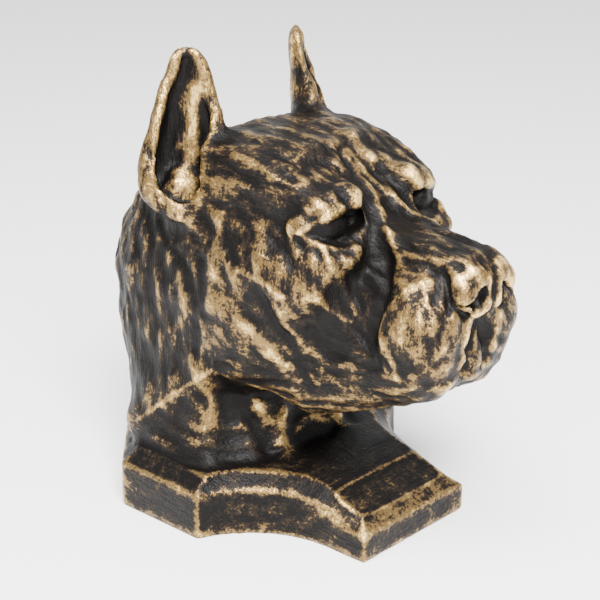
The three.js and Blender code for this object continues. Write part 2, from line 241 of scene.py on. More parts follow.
EYE_CORNERS = [(36, -27, 125.5), (26, -33.5, 130.5), (16, -36, 132.5), (15.5, -38, 125), (28, -34, 122)]
EYE_OUT = (0.45, -0.88, 0.08)
EYE_DEPTH = 9
EYE_EDGE = 3


def eyes(p, d):
    """Heavy brow over a three-cornered socket, with the ball set back in it."""
    brow = rod(p, [(36, -22, 127.5), (29, -26.5, 132.5), (18, -30, 136.5)], (0.8, 2.6, 4))
    hollow = ellipsoid(p, (26, -38, 125), (8, 7, 4.5), (0, 20, 0))
    socket = prism(p, EYE_CORNERS, EYE_OUT, EYE_DEPTH, EYE_EDGE)
    ball = ellipsoid(p, (25, -24.5, 126), (9.5, 9, 7))
    d = carve(carve(join(d, brow, 8), hollow, 5), socket, 1.5)
    return join(d, ball, 0.8)


WING_GROOVE = [(14.5, -70, 117), (14.5, -77, 108), (11.5, -78.5, 102), (8, -80, 98.5)]
NOSTRIL_SLIT = [(9.5, -83, 106), (13.5, -79, 105.5)]
NOSE_GROOVE = [(0, -84.5, 115), (0, -84.5, 104), (0, -80, 98)]
FLEW_CLEFT = [(0, -79, 99), (3.5, -79, 93), (5.5, -79, 86), (6, -78, 77)]


def nose_and_mouth(p, d):
    """Nostrils, wing grooves, the cleft between the flews and the chin that shows in it."""
    wing = ellipsoid(p, (11, -78, 109), (4.2, 5, 5.5))
    nostril = ellipsoid(p, (7, -84, 106.5), (3.2, 5.5, 5.4), (0, -8, 12))
    chin = ellipsoid(p, (0, -73.5, 84), (4.6, 5, 8))
    lower_lip = ellipsoid(p, (0, -70, 75), (9, 7, 4))
    d = carve(d, rod(p, WING_GROOVE, (1.2, 1.8, 1.4, 1.4)), 1.5)
    d = carve(join(d, wing, 2), nostril, 0.8)
    d = carve(d, rod(p, NOSTRIL_SLIT, (1.3, 0.7)), 1)
    d = carve(d, rod(p, NOSE_GROOVE, (0.8, 1.2, 1.6)), 1.5)
    d = carve(d, rod(p, FLEW_CLEFT, (2.4, 3.2, 3.6, 3.6)), 1.5)
    return join_all(d, (chin, 1), (lower_lip, 2))


NECK_BACK = [(24, 74), (50, 79), (75, 86), (92, 88), (106, 86), (120, 78), (132, 66), (147, 40), (151, 26)]
NECK_FRONT = [(24, 2), (34, 6), (50, 8), (70, 0), (90, -12), (110, -20), (151, -10)]
NECK_HALF = [
    (24, 50.5), (40, 47), (60, 45.5), (95, 46),
    (110, 43.5), (125, 39), (138, 34), (151, 20),
]
NECK_POWER = [(30, 2.6), (60, 2.75), (110, 2.75), (151, 2.4)]
NECK_TOP = 149
NECK_FOOT = 6


def neck(p):
    """Broad arched neck with the two cords that run down to the shoulder."""
    x, y, z = p.T
    back, front = along(z, NECK_BACK), along(z, NECK_FRONT)
    half, power = along(z, NECK_HALF), along(z, NECK_POWER)
    deep = (back - front) / 2
    ring = (np.abs(x / half) ** power + np.abs((y - (back + front) / 2) / deep) ** power) ** (1 / power)
    column = (ring - 1) * np.minimum(half, deep)
    d = meet(column, np.maximum(z - NECK_TOP, NECK_FOOT - z), 3)
    front_cord = rod(p, [(40, 20, 62), (38, 20, 26)], (4.5, 6.5))
    back_cord = rod(p, [(38, 22, 60), (44, 56, 33)], (4.5, 3.5))
    hollow = ellipsoid(p, (43, 7, 46), (12, 11, 18))
    return carve(join_all(d, (front_cord, 9), (back_cord, 9)), hollow, 10)


EAR_BASE = np.array([38.0, 33.0, 136.0])
EAR_TIP = np.array([29.5, 37.5, 183.0])
EAR_TURN = math.radians(42)
EAR_HALF = 17.5
EAR_TAPER = 11.5
EAR_TAPER_POWER = 1.3
EAR_DEPTH = 0.62
EAR_ROOT = 17
EAR_TIP_ROUND = 6
EAR_MOUTH = 1
EAR_FLARE = 5
EAR_FLARE_LENGTH = 36
EAR_WALL = 3
FOLD_ACROSS = -2.5
FOLD_SUNK = 0.5
FOLD_FLATNESS = 1.25
FOLD_HALF = [(-8, 5), (12, 4.6), (30, 3), (40, 1)]


def ear_axes():
    """Across the ear, up it and out of its opening, with its length."""
    up = EAR_TIP - EAR_BASE
    length = np.linalg.norm(up)
    up = up / length
    facing = np.array([math.sin(EAR_TURN), -math.cos(EAR_TURN), 0])
    across = np.cross(up, facing)
    across /= np.linalg.norm(across)
    return across, up, np.cross(across, up), length


def in_ear(u, v, n):
    """Point given across the ear, up it and out of its opening."""
    across, up, out, _ = ear_axes()
    return tuple(EAR_BASE + u * across + v * up + n * out)


def ear(p):
    """Cropped ear: its leaf, open in front, and the hollow inside with its lengthwise fold."""
    across, up, out, length = ear_axes()
    q = p - EAR_BASE
    u, v, n = q @ across, q @ up, q @ out
    share = np.clip(v / length, 0, 1)
    half = EAR_HALF - EAR_TAPER * share ** EAR_TAPER_POWER
    low = np.minimum(v, 0) / EAR_ROOT
    high = np.maximum(v - length + EAR_TIP_ROUND, 0) / EAR_TIP_ROUND
    oval = (u / half) ** 2 + (n / half / EAR_DEPTH) ** 2 + low ** 2 + high ** 2
    leaf = (np.sqrt(oval) - 1) * half * EAR_DEPTH
    mouth = n - EAR_MOUTH - EAR_FLARE * np.clip(1 - v / EAR_FLARE_LENGTH, 0, 1)
    floor = -EAR_DEPTH * half + EAR_WALL
    fold = np.hypot((u - FOLD_ACROSS) / FOLD_FLATNESS, n - floor + FOLD_SUNK) - along(v, FOLD_HALF)
    lump = ellipsoid(p, in_ear(1, -6, -4), (6.5, 5.5, 7.5))
    hollow = carve(leaf + EAR_WALL, join(fold, lump, 6), 5)
    return meet(leaf, mouth, 2.5), hollow


def figure(p):
    """Signed distance to the whole casting, for points with X from 0 up."""
    head = nose_and_mouth(p, eyes(p, muzzle(p, skull(p))))
    d = join(head, neck(p), 10)
    leaf, hollow = ear(p)
    d = carve(join(d, leaf, 5), hollow, 2)
    return join(d, plinth(p), 2.5)


# Surface

def left_half(p):
    """The same points on the left half, with X from 0 up."""
    return np.abs(p) * (1, 0, 0) + p * (0, 1, 1)


def in_parts(measure, p, size=60000):
    """Measures many points a part at a time, to keep the arrays small."""
    return np.concatenate([measure(p[i:i + size]) for i in range(0, len(p), size)])


def distance(p):
    """Signed distance to the casting for points on either side."""
    return in_parts(figure, left_half(p))


def slope(p, reach=0.25):
    """Direction in which the distance grows, with its steepness."""
    total = np.zeros_like(p)
    for corner in ((1, 1, 1), (1, -1, -1), (-1, 1, -1), (-1, -1, 1)):
        step = np.array(corner, float) * reach
        total += distance(p + step)[:, None] * step
    return total / (4 * reach * reach)


# Lattice stops along each axis: where it starts, then (end, times the face's spacing up to there)
STOPS_X = [0, (36, 1), (61, 1.2)]
STOPS_Y = [-87, (-8, 1), (90, 1.35)]
STOPS_Z = [-2, (24, 1.5), (66, 1.3), (145, 1), (185, 1.2)]
COARSE = 4
NEAR = 9
SETTLINGS = 2
LEAST_STEEPNESS = 0.2
LONGEST_MOVE = 0.6


def steps(stops, spacing):
    """Lattice places from stop to stop."""
    places = [stops[0]]
    for end, times in stops[1:]:
        count = max(1, round((end - places[-1]) / (spacing * times)))
        places += list(np.linspace(places[-1], end, count + 1)[1:])
    return np.array(places)


def crossed(a, b, c):
    """Every point where lattice lines along X, Y and Z cross."""
    return np.stack(np.meshgrid(a, b, c, indexing="ij"), axis=-1).reshape(-1, 3)


def sample(x, y, z):
    """Distances on the lattice: measured near the surface, and only roughly elsewhere."""
    coarse = x[::COARSE], y[::COARSE], z[::COARSE]
    rough = in_parts(figure, crossed(*coarse)).reshape([len(lines) for lines in coarse])
    nearest = []
    for lines, count in zip((x, y, z), rough.shape):
        nearest.append(np.minimum((np.arange(len(lines)) + COARSE // 2) // COARSE, count - 1))
    values = rough[np.ix_(*nearest)]
    near = np.abs(values) < NEAR
    i, j, k = np.nonzero(near)
    values[near] = in_parts(figure, np.stack([x[i], y[j], z[k]], axis=1))
    return values


def crossings(values, lines, axis):
    """Lattice edges along one axis that pass through the surface: start, place and whether outward."""
    inside = values < 0
    last = values.shape[axis] - 1
    at = np.stack(np.nonzero(np.take(inside, range(last), axis)
                             != np.take(inside, range(1, last + 1), axis)), axis=1)
    ahead = at.copy()
    ahead[:, axis] += 1
    start, end = values[tuple(at.T)], values[tuple(ahead.T)]
    share = start / (start - end)
    place = np.stack([lines[a][at[:, a]] for a in range(3)], axis=1)
    place[:, axis] += share * (lines[axis][ahead[:, axis]] - lines[axis][at[:, axis]])
    return at, place, start < 0


def settle(points, spacing):
    """Moves points onto the surface, by no more than part of the spacing at a time."""
    for _ in range(SETTLINGS):
        gradient = slope(points)
        steep = np.maximum((gradient ** 2).sum(axis=1), LEAST_STEEPNESS)
        move = gradient * (distance(points) / steep)[:, None]
        length = np.linalg.norm(move, axis=1)
        points -= move * np.minimum(1, LONGEST_MOVE * spacing / np.maximum(length, TINY))[:, None]


def skin(spacing):
    """Vertices and four-cornered faces of the casting's surface, both halves."""
    x, y, z = (steps(stops, spacing) for stops in (STOPS_X, STOPS_Y, STOPS_Z))
    values = sample(x, y, z)
    values = np.concatenate([values[:0:-1], values])
    lines = [np.concatenate([-x[:0:-1], x]), y, z]
    cells = np.array(values.shape) - 1
    total = np.zeros((cells.prod(), 3))
    count = np.zeros(cells.prod())
    faces = []
    for axis in range(3):
        at, place, outward = crossings(values, lines, axis)
        b, c = (axis + 1) % 3, (axis + 2) % 3
        ring = []
        for back_b, back_c in ((0, 0), (1, 0), (1, 1), (0, 1)):
            cell = at.copy()
            cell[:, b] -= back_b
            cell[:, c] -= back_c
            ring.append(np.ravel_multi_index(tuple(cell.T), cells))
            count += np.bincount(ring[-1], minlength=len(count))
            for a in range(3):
                total[:, a] += np.bincount(ring[-1], place[:, a], len(total))
        ring = np.stack(ring, axis=1)
        faces.append(np.where(outward[:, None], ring, ring[:, ::-1]))
    used = count > 0
    points = total[used] / count[used, None]
    settle(points, spacing)
    return points, (np.cumsum(used) - 1)[np.concatenate(faces)]


def neighbours(faces):
    """Pairs of vertices that share an edge or lie across a face."""
    pairs = []
    for a, b in ((0, 1), (1, 2), (2, 3), (3, 0), (0, 2), (1, 3)):
        pairs.append(faces[:, [a, b]])
    return np.concatenate(pairs)


def spread(values, pairs, weights, times):
    """Values blended with their neighbours', several times over."""
    values = values.reshape(len(values), -1).copy()
    a, b = pairs.T
    total = np.bincount(a, weights, len(values)) + np.bincount(b, weights, len(values))
    for _ in range(times):
        for column in range(values.shape[1]):
            v = values[:, column]
            near = np.bincount(a, weights * v[b], len(v)) + np.bincount(b, weights * v[a], len(v))
            values[:, column] = (v + near / np.maximum(total, TINY)) / 2
    return values


def normals(points, faces):
    """Outward direction at each vertex."""
    across = points[faces[:, 2]] - points[faces[:, 0]]
    other = points[faces[:, 3]] - points[faces[:, 1]]
    flat = np.cross(across, other)
    total = np.zeros_like(points)
    for corner in range(4):
        for axis in range(3):
            total[:, axis] += np.bincount(faces[:, corner], flat[:, axis], len(points))
    return total / np.maximum(np.linalg.norm(total, axis=1), TINY)[:, None]


MIXERS = (374761393, 668265263, 1440662683)
SEED_MIXER = 974711
LAST_MIXER = 1274126177
LOW_BITS = 0xFFFFFFFF


def noise(p, seed):
    """Smooth random values from -1 to 1 that change over about one unit."""
    base = np.floor(p).astype(np.int64)
    f = p - base
    f = f * f * (3 - 2 * f)
    total = np.zeros(len(p))
    for corner in range(8):
        pick = np.array([corner & 1, corner >> 1 & 1, corner >> 2 & 1])
        mixed = ((base + pick) @ np.array(MIXERS) + seed * SEED_MIXER) & LOW_BITS
        mixed = ((mixed ^ (mixed >> 13)) * LAST_MIXER) & LOW_BITS
        value = ((mixed ^ (mixed >> 16)) & 0xFFFF) / 32767.5 - 1
        total += value * np.prod(np.where(pick == 1, f, 1 - f), axis=1)
    return total


# Carved lines

CURVE_SHARES = (0, 0.34, 0.67)
STROKE_THROUGH = 5
STROKE_MARGIN = 6


def smooth_path(points):
    """The same points with rounded runs between them."""
    points = np.array(points, float)
    if len(points) < 3:
        return points
    padded = np.concatenate([2 * points[:1] - points[1:2], points, 2 * points[-1:] - points[-2:-1]])
    path = []
    for i in range(1, len(padded) - 2):
        before, start, end, after = padded[i - 1:i + 3]
        for t in CURVE_SHARES:
            curve = 2 * start + (end - before) * t + (2 * before - 5 * start + 4 * end - after) * t ** 2
            path.append((curve + (3 * start - before - 3 * end + after) * t ** 3) / 2)
    return np.array(path + [points[-1]])


def stroke(p, out, points, width):
    """How much each vertex belongs to a carved line, from 0 to 1, measured along the surface."""
    path = smooth_path(points)
    margin = 3 * width + STROKE_MARGIN
    low, high = path.min(axis=0) - margin, path.max(axis=0) + margin
    amount = np.zeros(len(p))
    near = np.nonzero(((p > low) & (p < high)).all(axis=1))[0]
    q, n = p[near], out[near]
    best = np.full(len(near), np.inf)
    for start, end in zip(path, path[1:]):
        run = end - start
        share = np.clip((q - start) @ run / max(run @ run, TINY), 0, 1)
        away = q - start - share[:, None] * run
        rise = (away * n).sum(axis=1)
        flat = np.linalg.norm(away - rise[:, None] * n, axis=1)
        best = np.minimum(best, flat + np.maximum(np.abs(rise) - STROKE_THROUGH, 0) * 2)
    amount[near] = np.exp(-(best / width) ** 2)
    return amount


# Each line: its points, its width, how far it stands out and how much gold it takes; a negative gold
# leaves it darker, on some lines as painted shade
CARVED_LINES = [
    # Edges of the bridge, from the forehead down to the nose
    ([(1, -13, 146), (2, -25, 138), (5, -34, 131), (10, -43, 124), (13, -48, 120), (15, -53, 116)],
     1.7, 1.0, 1),
    ([(7, -24, 139), (10, -34, 130), (16, -42, 122), (19, -47, 114), (20, -51, 107)], 3, -1.4, -1),
    ([(14, -53, 119), (13, -62, 119), (11, -72, 120)], 1.4, 0.5, 0.8),
    # Lids, brow and the skin under the eye
    ([(38, -25, 126), (34, -29, 129), (29, -32, 132), (24, -34, 134)], 1.5, 0.8, 0.8),
    ([(39, -17, 131), (34, -22, 136), (28, -25, 140)], 3.5, -0.5, -0.9),
    ([(27, -41, 118), (23, -42, 115), (25, -42, 110)], 4, 0, -0.9),
    ([(28, -30, 126), (24, -32, 126), (20, -33, 127)], 3.4, 0, -2.6),
    ([(16, -34, 137.5), (17, -35, 135)], 2.6, 1.0, 1),
    ([(30, -18, 141), (24, -21, 144), (14, -22, 146), (6, -18, 147)], 3, 0.4, 0.6),
    ([(38, -25, 126), (35.5, -28.5, 123), (32, -33, 120.5), (27, -37, 119.5), (21, -40, 120.5)],
     1.2, 0.6, 0.8),
    ([(35, -34, 119), (33, -36, 114), (31, -37, 109)], 3.4, 0.4, 0.35),
    ([(19, -41, 119), (19, -42, 117)], 2.4, 0.4, 0.8),
    # Nose: its dark top and front, with a rim round the nostril
    ([(4, -40, 128), (7, -50, 123), (8, -60, 120), (8, -70, 119.5)], 5, 0, -1.1),
    ([(0, -62, 122), (0, -74, 119)], 4, 0, -0.7),
    ([(14, -75, 113), (12.5, -77.5, 115), (10, -79.5, 116), (5, -81, 116.5)], 2.2, 0.5, 1.5),
    ([(3, -83, 114), (2.2, -84, 107), (3, -82, 101.5), (8, -80.5, 100.5)], 1.2, 0.7, 1),
    ([(12, -80, 112), (12.5, -81, 107)], 2.8, 0.3, 0.8),
    ([(17, -56, 113), (17, -62, 113), (16, -67, 112.5)], 3, 0.3, 0.8),
    # Flew: its front edge, its ring and the crease behind it
    ([(7, -79, 100), (10, -79, 96), (10, -78.5, 90), (9, -78, 84), (7, -77, 78)], 2.1, 0.7, 1.1),
    ([(16, -68, 113), (23, -63, 109), (27, -57, 101), (28, -55, 94), (29, -60, 88), (28, -62, 79)],
     1.8, 0.6, 0.5),
    ([(21, -70, 104), (24, -67, 99), (25, -66, 93)], 6, 0.2, 0.45),
    ([(27, -63, 77), (25, -68, 75), (20, -73, 74), (12, -76, 75.5), (6, -76, 76)], 1.8, 0.5, 0.6),
    ([(15, -47, 115), (22, -53, 109), (25, -53, 102), (26, -50, 95), (28, -50, 88), (29, -53, 80)],
     3, -2.2, -1.2),
    # Ear: the fold inside it and the lump at its root
    ([in_ear(-3, -4, -3), in_ear(-3, 10, -3), in_ear(-3, 22, -2), in_ear(-2, 32, -1)], 4, 0.3, 2),
    ([in_ear(1, -10, -1), in_ear(1, -3, 0)], 5.5, 0.3, 2.4),
    ([in_ear(-10, 4, -3), in_ear(-9, 14, -4)], 2.5, -0.8, -1),
    # Cheek
    ([(45, -2, 109), (45, -17, 106), (44, -23, 103)], 1.2, 0.5, 0.9),
    ([(46, -12, 104), (43, -15, 96), (40, -17, 90), (35, -21, 78), (31, -25, 65)], 1.7, -1, -1),
    ([(46, -3, 88), (43, -9, 86), (40, -14, 78), (36, -18, 72)], 3, 0.8, 0.9),
    ([(43, -21, 97), (39, -21, 89), (34, -24, 83), (30, -30, 74)], 3, 0.9, 0.9),
    ([(46, 8, 106), (47, 3, 101), (46, 5, 95)], 5, 0.3, 0.7),
    ([(39, -33, 104), (35, -34, 100), (31, -36, 96), (27, -41, 93)], 1.8, 0.8, 1),
    ([(31, -34, 90), (30, -32, 84), (30, -33, 80)], 6, -1.2, -1.4),
    # Folds under the ear's root
    ([(43, 30, 122), (43, 24, 119), (44, 17, 115)], 1.5, 0.6, 0.8),
    ([(40, 22, 128), (43, 25, 121), (45, 26, 114)], 1.5, 0.6, 0.6),
    # Jaw, throat and neck
    ([(41, 12, 126), (46, 10, 110), (48, 11, 93)], 2.6, 0.6, 0.8),
    ([(46, 17, 108), (47.5, 16, 98), (47, 15, 88)], 2.2, -1, -0.9),
    ([(42, 43, 117), (44, 37, 110), (46, 26, 104), (47, 21, 98), (47, 19, 87), (45, 22, 71)],
     1.8, -0.9, -0.5),
    ([(50, 51, 34), (48, 33, 49), (44, 15, 64)], 1.0, 0.5, 0.35),
    ([(44, 18, 58), (42, 18, 50), (41, 18, 40)], 4.5, 0.4, 1),
    ([(43, 14, 63), (38, 5, 60), (30, -12, 56), (24, -31, 56), (19, -43, 58)], 1.6, 0.7, 0.6),
    ([(25, 7, 44), (20, 8, 38), (16, 6, 32), (18, 1, 27)], 4, 1.4, 0.7),
    ([(10, 8, 44), (13, 7, 37), (16, 3, 29)], 3.4, 1, 0.5),
    ([(2, 6, 33), (8, 4, 29), (14, 1, 26)], 2.6, 0.8, 0.6),
    ([(30, 5, 44), (27, 6, 36), (24, 4, 28)], 3.2, -1, -0.7),
    # Plinth: the field on the tongue, gold along its front and on the flank's end, and a painted shadow of
    # the head on the tongue
    ([(0, -30.5, 21.2), (20, -31, 21), (25, -33, 20.3), (26, -37, 18.8)], 0.9, 0.25, 1),
    ([(26, -37, 18.8), (25, -42, 16.9), (20, -46, 15.6), (0, -46.5, 15.4)], 0.9, 0.25, 0.8),
    # Painted shadow: less gold on the tongue in front of the neck, under the head
    ([(12, -24, 23), (12, -10, 24)], 9, 0, -0.4),
    ([(0, -48.5, 13.3), (15, -48.5, 13.3), (27, -48.5, 13.3)], 2.4, 0, 1.1),
    ([(28, -48, 13), (28.5, -40, 15), (30, -32, 18)], 2, 0, 0.9),
    ([(33, -29, 15), (31, -38, 13)], 2.4, 0, 0.8),
    ([(30, -51, 1), (30, -51, 11)], 0.9, 0, 1),
    ([(59.2, 8.1, 1), (59.2, 8.1, 18)], 0.9, 0, 1),
    # Broad dark places with less gold: painted shade on the nape, which faces away from the light, and
    # less gold on the temple and the back of the jaw
    ([(44, 52, 112), (47, 56, 80), (48, 58, 55)], 17, 0, -0.6),
    ([(36, 6, 143), (36, -8, 139), (33, -14, 140)], 6, 0, -0.4),
    ([(43, -6, 66), (37, -20, 62)], 6, 0, -0.4),
    # Skull and temple
    ([(38, -20, 129), (38.5, -22, 124), (38, -24, 119)], 2.2, 0.5, 0.8),
    ([(38, -7, 125), (40, -9, 121), (42, -11, 117)], 2.4, 0.5, 0.8),
]

# Lines on one side alone, the right side's given as if on the left
LEFT_LINES = [
    ([(8, -13, 147), (8, -19, 142), (8, -29, 136), (10, -35, 130), (12, -39, 126)], 3, 0.2, 1.2),
]
RIGHT_LINES = [
    ([(22.5, -31, 138), (21.5, -32, 136.5)], 2, -1.2, -1.5),
]

# Lay of the coat: the middle of each part of the figure, its reach and the way its hair runs
COAT_LAY = [
    ((46, 45, 85), 34, (0.0, 0.12, 1)),
    ((0, 80, 80), 40, (0.0, 0.2, 1)),
    ((42, -8, 86), 20, (-0.35, -0.55, -0.75)),
    ((42, 2, 116), 20, (0.0, -0.3, -0.95)),
    ((38, -22, 112), 16, (-0.1, -0.3, -0.95)),
    ((30, 0, 146), 26, (-0.15, -1, 0.0)),
    ((0, -45, 122), 18, (0.0, -1, -0.35)),
    ((22, -66, 96), 13, (0.3, -0.4, -0.85)),
    ((20, -68, 80), 9, (0.4, -1, 0.1)),
    ((20, -20, 58), 22, (0.2, -1, 0.1)),
    ((30, 20, 10), 34, (0.6, 0.8, 0.0)),
    ((40, 30, 165), 18, (0.0, 0.05, 1)),
]


def coat_lay(p):
    """Direction in which the coat is stroked at each point."""
    total = np.zeros_like(p)
    half = left_half(p)
    for centre, reach, way in COAT_LAY:
        weight = np.exp(-((half - centre) ** 2).sum(axis=1) / (reach * reach)) + TINY
        total += weight[:, None] * (np.array(way) / np.linalg.norm(way))
    total[:, 0] *= np.where(p[:, 0] < 0, -1, 1)
    return total / np.maximum(np.linalg.norm(total, axis=1), TINY)[:, None]


# How far a hollow and the shade in it are felt for, and the share of the measure that each reach gives
HOLLOW_AND_SHADE_REACHES = ((2.5, 0.2), (6, 0.35), (13, 0.45))


def hollow_and_shade(p, out):
    """How far each vertex lies in a hollow, from 0 in the open to 1: an occlusion measure that keeps the
    gold out of real hollows and also paints shade where it falls, under the jaw and in the throat.
    """
    shut = np.zeros(len(p))
    for reach, share in HOLLOW_AND_SHADE_REACHES:
        shut += share * np.clip(1 - distance(p + out * reach) / reach, 0, 1)
    return shut


def carved_lines(points, out):
    """How far each vertex stands out on the carved lines, and how much gold they give it; where that is
    negative it is left darker, on some lines as painted shade.
    """
    mirror = np.array((-1, 1, 1))
    both = left_half(points), np.where(points[:, :1] < 0, out * mirror, out)
    left, right = (points, out), (points * mirror, out * mirror)
    rise, gold = np.zeros(len(points)), np.zeros(len(points))
    for lines, place in ((CARVED_LINES, both), (LEFT_LINES, left), (RIGHT_LINES, right)):
        for path, width, height, gilt_and_shade in lines:
            amount = stroke(*place, path, width)
            rise += height * amount
            gold += gilt_and_shade * amount
    return rise, gold


STREAK_SHARPNESS = 6
STREAK_LEAK = 0.02
STREAK_LENGTH = 12


def coat_streaks(points, pairs, lay, seed):
    """Random values drawn out along the lay of the coat, varying by about 1."""
    run = points[pairs[:, 1]] - points[pairs[:, 0]]
    run /= np.maximum(np.linalg.norm(run, axis=1), TINY)[:, None]
    aligned = np.abs((run * lay[pairs[:, 0]]).sum(axis=1)) ** STREAK_SHARPNESS
    random = np.random.default_rng(seed).standard_normal(len(points))
    softened = spread(random, pairs, np.ones(len(pairs)), 1)
    streaks = spread(softened, pairs, aligned + STREAK_LEAK, STREAK_LENGTH)[:, 0]
    return streaks / streaks.std()


def standing_out(points, out, pairs, times):
    """How far each vertex stands out from those around it, over a few or many neighbours."""
    around = spread(points, pairs, np.ones(len(pairs)), times)
    return ((points - around) * out).sum(axis=1)


GILT_MEAN = 0.85
GILT_CHANGE = 0.5
GILT_PATCH = 5.2
DENT_SIZES = (7.5, 3.6)
DENT_SHARE = 0.5
STREAK_SHARE = 0.55
PLINTH_CALM = 0.15
PLINTH_SKIN = 0.3
FLOOR_SKIN = 0.5


def carved_surface(spacing, depth, seed):
    """Points, faces and what the brush finds there: raised, gilding with some painted shade, hollows with
    painted shade, streaks and lay.
    """
    points, faces = skin(spacing)
    out = normals(points, faces)
    pairs = neighbours(faces)
    lay = coat_lay(points)
    streaks = coat_streaks(points, pairs, lay, seed)
    rise, gold = carved_lines(points, out)
    gold *= GILT_MEAN + GILT_CHANGE * noise(points / GILT_PATCH, seed + 2)
    dents = noise(points / DENT_SIZES[0], seed) + 0.5 * noise(points / DENT_SIZES[1], seed + 1)
    on_plinth = plinth(left_half(points)) < PLINTH_SKIN
    calm = np.where(on_plinth, PLINTH_CALM, 1.0)
    rise += depth * calm * (STREAK_SHARE * np.clip(streaks, -2, 2) + DENT_SHARE * dents)
    rise = np.where(points[:, 2] < FLOOR_SKIN, 0, rise)
    points = points + out * rise[:, None]
    out = normals(points, faces)
    fine, small, large = (standing_out(points, out, pairs, times) for times in (3, 8, 60))
    raised = 1.5 * np.clip(small, -0.6, 0.6) + 0.22 * np.clip(large - 0.5, -1.5, 1.2)
    raised = np.where(on_plinth, 6 * np.clip(fine, -0.1, 0.2) - 0.3, raised)
    return points, faces, {
        "raised": raised,
        "gilding_and_shade": gold,
        "hollow_and_shade": hollow_and_shade(points, out),
        "streaks": streaks,
        "lay": lay ** 2,
    }


# Properties

class CastingProperties(bpy.types.PropertyGroup):
    """Sizes of the carved surface."""

    spacing: bpy.props.FloatProperty(
        name="Surface spacing", description="Distance between the surface's points over the face",
        default=0.00112, min=0.0008, max=0.004, precision=5, unit="LENGTH", subtype="DISTANCE")
    depth: bpy.props.FloatProperty(
        name="Tool marks", description="Depth of the strokes and dents left by the carver's tool",
        default=0.0006, min=0, max=0.0015, precision=5, unit="LENGTH", subtype="DISTANCE")
    seed: bpy.props.IntProperty(
        name="Seed", description="Picks the pattern of the tool marks", default=7)


class PatinaProperties(bpy.types.PropertyGroup):
    """Colours of the dry-brushed finish."""

    ground: bpy.props.FloatVectorProperty(
        name="Ground", description="Black-brown of the ground coat", subtype="COLOR",
        size=4, min=0, max=1, default=(0.0026, 0.0021, 0.0019, 1))
    haze: bpy.props.FloatVectorProperty(
        name="Haze", description="Brown where the gold is only a thin haze", subtype="COLOR",
        size=4, min=0, max=1, default=(0.015, 0.0098, 0.006, 1))
    gold: bpy.props.FloatVectorProperty(
        name="Gold", description="Old gold of the brushed coat", subtype="COLOR",
        size=4, min=0, max=1, default=(0.158, 0.098, 0.036, 1))
    # Paler gold on the most rubbed edges, partly a highlight painted on the ridges
    bright: bpy.props.FloatVectorProperty(
        name="Bright gold", description="Paler gold on the rubbed edges", subtype="COLOR",
        size=4, min=0, max=1, default=(0.70, 0.465, 0.165, 1))
    cover: bpy.props.FloatProperty(
        name="Cover", description="How far the gold spreads from the raised places",
        default=-0.62, min=-1, max=1, subtype="FACTOR")


class StageProperties(bpy.types.PropertyGroup):
    """Floor and lights."""

    floor: bpy.props.FloatVectorProperty(
        name="Floor", description="Colour of the pale floor", subtype="COLOR",
        size=4, min=0, max=1, default=(0.93, 0.93, 0.925, 1))
    key: bpy.props.FloatProperty(
        name="Key light", description="Power of the large soft light in front",
        default=62, min=0, unit="POWER")


# Casting

def lay_mesh(points, faces, marks):
    """Mesh of the casting in metres, with what the brush finds as attributes on its points."""
    mesh = bpy.data.meshes.new(BUST + "_carved")
    placed = (points - (0, AXIS_AHEAD, 0)) * UNIT
    mesh.from_pydata(placed.tolist(), [], faces.tolist())
    for name, values in marks.items():
        kind, key = ("FLOAT", "value") if values.ndim == 1 else ("FLOAT_VECTOR", "vector")
        attribute = mesh.attributes.new(name, kind, "POINT")
        attribute.data.foreach_set(key, values.astype(np.float32).ravel())
    return mesh


UNDERSIDE_WITHIN = 0.0003


def flatten_underside(mesh):
    """Makes the flat underside a single face."""
    form = bmesh.new()
    form.from_mesh(mesh)
    for vertex in form.verts:
        if vertex.co.z < UNDERSIDE_WITHIN:
            vertex.co.z = 0
    under = [face for face in form.faces if all(vertex.co.z == 0 for vertex in face.verts)]
    bmesh.ops.dissolve_faces(form, faces=under, use_verts=False)
    for face in form.faces:
        face.smooth = len(face.verts) < 5
    form.to_mesh(mesh)
    form.free()


class DOGBUST_OT_cast(bpy.types.Operator):
    """Carve the bust and its plinth as one casting"""

    bl_idname = "dogbust.cast"
    bl_label = "Cast Bust"

    def execute(self, context):
        sizes = context.scene.dogbust_casting
        points, faces, marks = carved_surface(sizes.spacing / UNIT, sizes.depth / UNIT, sizes.seed)
        mesh = lay_mesh(points, faces, marks)
        flatten_underside(mesh)
        bust = bpy.data.objects.new(BUST + "_carved", mesh)
        context.scene.collection.objects.link(bust)
        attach(bust, "root")
        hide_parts(BUST)
        return {"FINISHED"}


# Patina

COAT_IOR = 1.18
METALLIC = (0.0, 0.8)
ROUGHNESS = (0.40, 0.33)
BUMP_STRENGTH = 0.7
BUMP_DEPTH = 0.0011
BRISTLES = (420, 75)
HAIRS = (1100, 190)


def feed(tree, socket, value):
    """Links a socket to another one, or gives it a plain value."""
    if isinstance(value, bpy.types.NodeSocket):
        tree.links.new(value, socket)
    else:
        socket.default_value = value


def calculate(tree, operation, *values):
    """Result of a Math node on sockets or plain numbers."""
    node = tree.nodes.new("ShaderNodeMath")
    node.operation = operation
    for socket, value in zip(node.inputs, values):
        feed(tree, socket, value)
    return node.outputs[0]


def weighted_sum(tree, *terms):
    """Sum of sockets, each shifted by its own number and then weighted."""
    total = 0.0
    for value, weight, shift in terms:
        term = calculate(tree, "MULTIPLY_ADD", value, weight, shift * weight)
        total = calculate(tree, "ADD", term, total)
    return total


